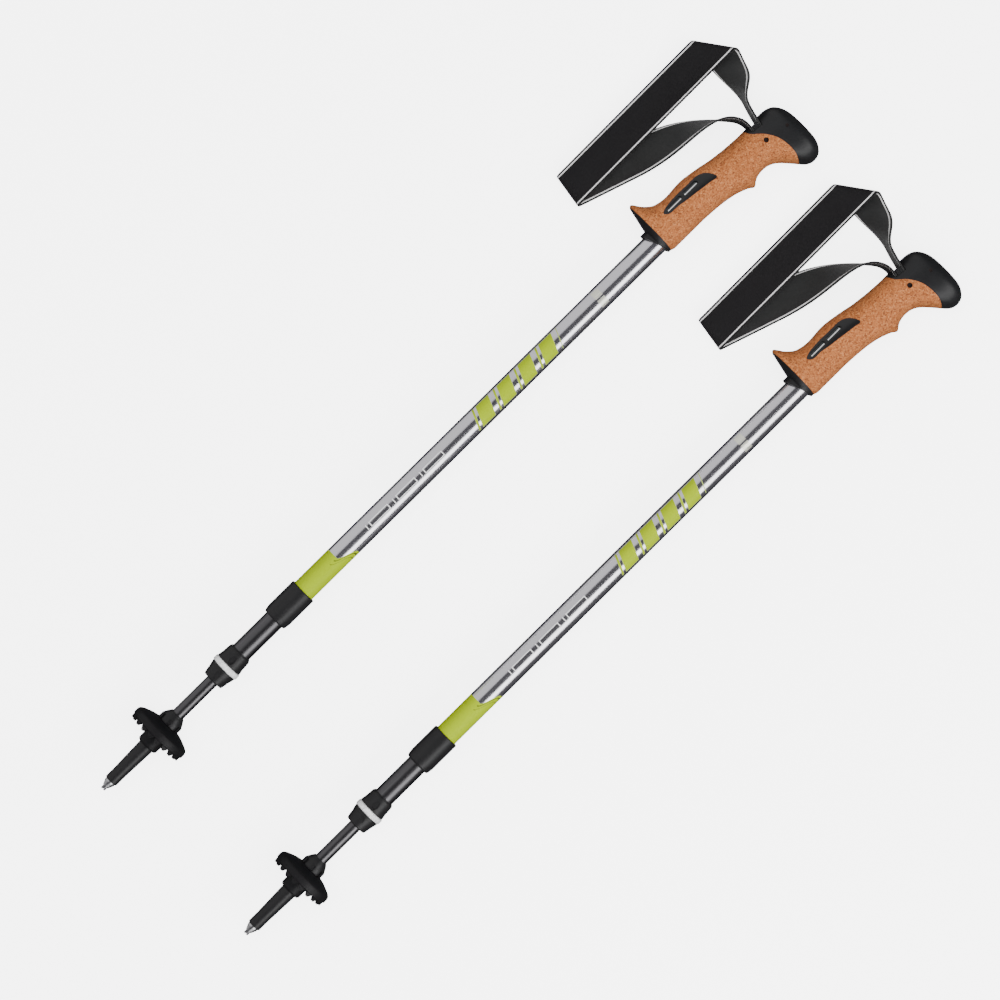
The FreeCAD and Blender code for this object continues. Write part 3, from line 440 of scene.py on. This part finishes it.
def webbing(name, outer):
    finish = Finish(name)
    uv = finish.node("ShaderNodeUVMap", {}, {}, "UV")
    split = finish.tree.nodes.new("ShaderNodeSeparateXYZ")
    finish.tree.links.new(uv.socket, split.inputs[0])
    run, across = Wire(finish, split.outputs[0]), Wire(finish, split.outputs[1])
    warp = (across * (2 * math.pi / warp_pitch)).calc("SINE") * 0.5 + 0.5
    sway = (across * (math.pi / warp_pitch)).calc("SINE") * 1.4
    weft = (run * (2 * math.pi / weft_pitch) + sway).calc("SINE") * 0.5 + 0.5
    weave = warp * 0.55 + weft * 0.45
    fuzz = finish.noise(1800, 3)
    cloud = finish.noise(45, 3)
    dark, light = ((0.0040, 0.0036, 0.0042), (0.013, 0.0122, 0.013)) if outer \
        else ((0.006, 0.006, 0.006), (0.024, 0.024, 0.024))
    colour = finish.mix(weave * 0.6 + cloud * 0.4, dark, light)
    from_edge = half_width - abs(across)
    stripe = abs(from_edge - 1.9).below(0.46, 0.15)
    thread = (run * (2 * math.pi / thread_pitch)).calc("SINE") * 0.5 + 0.5
    colour = finish.mix(stripe, colour, finish.mix(thread, (0.48, 0.47, 0.47), (0.78, 0.77, 0.77)))
    groove = abs(abs(from_edge - 1.9) - 0.7).below(0.2, 0.15)
    relief = weave * 0.6 + fuzz * 0.25 + stripe * 0.5 - groove * 0.5
    finish.set(Base_Color=colour, Roughness=0.66 + fuzz * 0.2 - stripe * 0.2,
               Normal=finish.bump(relief, 0.5 if outer else 0.35, 0.0004))
    finish.shader.inputs["Sheen Weight"].default_value = 0.04 if outer else 0.16
    finish.shader.inputs["Sheen Roughness"].default_value = 0.5
    finish.shader.inputs["Specular IOR Level"].default_value = 0.15 if outer else 0.3
    return finish


outer_web, inner_web = webbing("webbing_outside", True), webbing("webbing_inside", False)
# the route, in millimetres along, beside and above the pole's own axis
pin = Vector((679.4, -3.5, 0))
low_in, low_out = Vector((676.2, -3.5, 0)), Vector((678.6, 12.0, 0))
top_in, top_out = Vector((682.6, -3.5, 0)), Vector((686.5, 13.7, 0))
pole_spacing = 149.2
twist_joint = [j for j in frame["joints"] if j["name"] == "middle_twist_1"][0]
cos_t, sin_t = twist_joint["axis"][0], -twist_joint["axis"][2]
pole_origin = Vector((twist_joint["pos_m"][0] * 1000 - twist_at * cos_t, twist_joint["pos_m"][1] * 1000,
                      twist_joint["pos_m"][2] * 1000 + twist_at * sin_t))


def lying(x):
    """Height, from the pole's axis, of the middle of webbing that lies on the ground."""
    return (x * sin_t - pole_origin.z) / cos_t + half_thick + 0.35


stations = []  # centre, along, outward, skew of the cross line


def lay(centre, along, outward, skew=0.0):
    along = Vector(along).normalized()
    outward = Vector(outward)
    outward = (outward - along * outward.dot(along)).normalized()
    stations.append((Vector(centre), along, outward, skew))


for part in range(3):
    lay(low_out.lerp(low_in, part / 3), low_in - low_out, (-1, 0, 0))
for part in range(7):
    a = math.pi * part / 6
    away = Vector((-math.cos(a), -math.sin(a), 0))
    lay(pin + away * wrap, (math.sin(a), -math.cos(a), 0), away)
for part in range(1, 4):
    lay(top_in.lerp(top_out, part / 3), top_out - top_in, (1, 0, 0))


def fold_steps(centre, crease, along, rising):
    """Stations where the band turns half round a crease that lies askew to it."""
    crease, along = Vector(crease).normalized(), Vector(along).normalized()
    across = along - crease * along.dot(crease)
    slide = crease * (along.dot(crease) / across.length)
    across.normalize()
    base = Vector((centre[0], centre[1], lying(centre[0])))
    steps = []
    for part in range(9):
        a = math.pi * part / 8
        turned = a if rising else math.pi - a
        up = 1 if rising else -1
        spot = base + across * (fold * math.sin(a)) + slide * (fold * (a - math.pi / 2)) \
            + Vector((0, 0, fold * (1 - math.cos(turned))))
        tangent = (across * math.cos(a) + slide + Vector((0, 0, up * math.sin(a)))).normalized()
        outward = across * math.sin(a) + Vector((0, 0, -up * math.cos(a)))
        side = outward.cross(tangent).normalized()
        steps.append((spot, tangent, outward, half_width * crease.dot(tangent) / crease.dot(side)))
    return steps


def twisting(start, start_dir, end, end_dir, lying_down, count, swell, first, last):
    """Stations of a run that turns between standing on edge and lying flat."""
    reach = (end - start).length * swell
    for part in range(1, count):
        u = part / count
        spot = start * (2 * u ** 3 - 3 * u ** 2 + 1) + start_dir * reach * (u ** 3 - 2 * u ** 2 + u) \
            + end * (-2 * u ** 3 + 3 * u ** 2) + end_dir * reach * (u ** 3 - u ** 2)
        along = start * (6 * u ** 2 - 6 * u) + start_dir * reach * (3 * u ** 2 - 4 * u + 1) \
            + end * (-6 * u ** 2 + 6 * u) + end_dir * reach * (3 * u ** 2 - 2 * u)
        along.z = 0
        along.normalize()
        v = min(max((u - first) / (last - first), 0), 1)
        ease = v * v * (3 - 2 * v)
        angle = math.pi / 2 * (ease if lying_down else 1 - ease)
        level = lying(spot.x)
        spot.z = level - level * math.cos(angle)
        outward = Vector((along.y, -along.x, 0)) * math.cos(angle) + Vector((0, 0, -math.sin(angle)))
        yield spot, along, outward, u * u * (3 - 2 * u)


top_fold = fold_steps((703.2, 71.4), (19.5, -26.8, 0), (0.309, 0.951, 0), True)
low_fold = fold_steps((556.4, 72.6), (-4.0, -25.7, 0), (-1, 0, 0), False)
flat_start = Vector((top_fold[0][0].x, top_fold[0][0].y, 0))
for spot, along, outward, share in twisting(top_out, (top_out - top_in).normalized(), flat_start,
                                            Vector((0.309, 0.951, 0)), True, 12, 1.0, 0.22, 1.0):
    lay(spot, along, outward, top_fold[0][3] * share)
for step in top_fold:
    lay(*step)
for share in (0.012, 0.035, 0.075, 0.14, 0.22, 0.32, 0.43, 0.57, 0.68, 0.78, 0.86, 0.925, 0.965, 0.988):
    lay(top_fold[-1][0].lerp(low_fold[0][0], share), (-1, 0, 0), (0, 0, 1),
        top_fold[-1][3] + (low_fold[0][3] - top_fold[-1][3]) * share)
for step in low_fold:
    lay(*step)
leave, bend = Vector((low_fold[-1][0].x, low_fold[-1][0].y, 0)), Vector((602.8, 56.5, 0))
for share in (0.02, 0.06, 0.12, 0.2, 0.31, 0.45, 0.6, 0.74, 0.87, 1.0):
    spot = leave.lerp(bend, share)
    lay((spot.x, spot.y, lying(spot.x)), bend - leave, (0, 0, -1), low_fold[-1][3] * (1 - share))
for spot, along, outward, share in twisting(bend, (bend - leave).normalized(), low_out,
                                            (low_in - low_out).normalized(), False, 18, 0.85, 0.0, 0.8):
    lay(spot, along, outward)


def between(a, b, c, d, t):
    """A smooth curve through b and c."""
    return 0.5 * ((2 * b) + (c - a) * t + (2 * a - 5 * b + 4 * c - d) * t * t
                  + (3 * b - a - 3 * c + d) * t ** 3)


def band_mesh(number):
    """The webbing: a flat section with soft edges, carried along the stations."""
    rim = [(-1.0, -0.35), (-0.985, -0.8), (-0.94, -1.0)]
    rim += [(-0.94 + 1.88 * k / 16, -1.0) for k in range(1, 16)]
    rim += [(0.94, -1.0), (0.985, -0.8), (1.0, -0.35)]
    section = rim + [(x, -y) for x, y in reversed(rim)]
    rows, run = [], []
    travelled = 0.0
    total = len(stations)
    for i in range(total):
        p = [stations[(i + k) % total] for k in (-1, 0, 1, 2)]
        for t in (0.0, 0.5):
            centre = between(*[q[0] for q in p], t)
            along = between(*[q[1] for q in p], t).normalized()
            outward = between(*[q[2] for q in p], t)
            outward = (outward - along * outward.dot(along)).normalized()
            skew = between(*[q[3] for q in p], t)
            side = outward.cross(along) * half_width + along * skew
            if rows:
                travelled += (centre - rows[-1][0]).length
            rows.append((centre, side, outward))
            run.append(travelled)
    mesh = bmesh.new()
    uv = mesh.loops.layers.uv.new("UVMap")
    grid = []
    for centre, side, outward in rows:
        ring = []
        for w, t in section:
            spot = centre + side * w + outward * (t * half_thick)
            here = Vector((pole_origin.x + spot.x * cos_t + spot.z * sin_t,
                           pole_origin.y - pole_spacing * (number - 1) + spot.y,
                           pole_origin.z - spot.x * sin_t + spot.z * cos_t))
            ring.append(mesh.verts.new(here / 1000))
        grid.append(ring)
    length = travelled + (rows[0][0] - rows[-1][0]).length
    for i in range(len(grid)):
        after = (i + 1) % len(grid)
        for j in range(len(section)):
            k = (j + 1) % len(section)
            face = mesh.faces.new((grid[i][j], grid[i][k], grid[after][k], grid[after][j]))
            face.material_index = 0 if section[j][1] + section[k][1] > 0 else 1
            face.smooth = True
            end = run[after] if after else length
            ends = (run[i], run[i], end, end)
            sides = (section[j][0], section[k][0], section[k][0], section[j][0])
            for loop, u, w in zip(face.loops, ends, sides):
                loop[uv].uv = (u, w * half_width)
    bmesh.ops.recalc_face_normals(mesh, faces=mesh.faces)
    data = bpy.data.meshes.new("strap_webbing_%d" % number)
    mesh.to_mesh(data)
    mesh.free()
    return data, length


for number in (1, 2):
    data, strap_length = band_mesh(number)
    band = bpy.data.objects.new("strap_webbing_%d" % number, data)
    bpy.context.scene.collection.objects.link(band)
    data.materials.append(outer_web.material)
    data.materials.append(inner_web.material)
    smooth = band.modifiers.new("smooth", "SUBSURF")
    smooth.levels = smooth.render_levels = 1
    bpy.context.view_layer.objects.active = band
    bpy.ops.object.select_all(action="DESELECT")
    band.select_set(True)
    bpy.ops.object.modifier_apply(modifier="smooth")
    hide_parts("wrist_strap_%d" % number)
    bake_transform(band)
